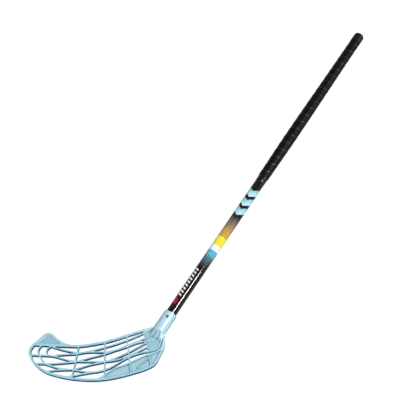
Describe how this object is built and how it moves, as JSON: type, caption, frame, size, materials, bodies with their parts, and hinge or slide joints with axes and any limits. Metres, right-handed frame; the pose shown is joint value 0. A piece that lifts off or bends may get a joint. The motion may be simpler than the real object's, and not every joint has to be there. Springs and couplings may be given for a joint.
{
  "type": "floorball stick",
  "caption": "Youth floorball stick: a round shaft with a wound grip and a push-on rubber end cap, and a curved lattice blade glued and screwed on at its socket.",
  "frame": {"origin": "centre of the butt's flat end, on the shaft's axis", "axes": "+X out of the butt along the shaft, +Z out of the hollow forehand face of the blade, +Y completes the right-handed set"},
  "size_m": [1.0443, 0.212, 0.0336],
  "materials": {
    "shaft_composite": "cut fibre composite, smooth",
    "printed_film": "glossy printed film with colour bands",
    "set_glue": "waxy",
    "blade_plastic": "moulded, satin to glossy",
    "screw_steel": "plain steel",
    "grip_foam": "soft foam",
    "grip_tape": "soft tacky tape, fine grain",
    "finishing_tape": "thin stretched tape, satin",
    "cap_rubber": "moulded rubber, satin"
  },
  "bodies": {
    "stick": {"shaft_tube": "shaft_composite", "shaft_film": "printed_film", "socket_glue": "set_glue", "blade": "blade_plastic", "grip_cushion": "grip_foam", "grip_tape": "grip_tape", "finishing_tape": "finishing_tape"},
    "screw": {"blade_screw": "screw_steel"},
    "cap": {"end_cap": "cap_rubber"}
  },
  "joints": [
    {"name": "screw_out", "type": "slide", "parent": "stick", "child": "screw", "axis": [0, 0, 1], "range_m": [0, 0.012]},
    {"name": "cap_off", "type": "slide", "parent": "stick", "child": "cap", "axis": [1, 0, 0], "range_m": [0, 0.03]}
  ]
}
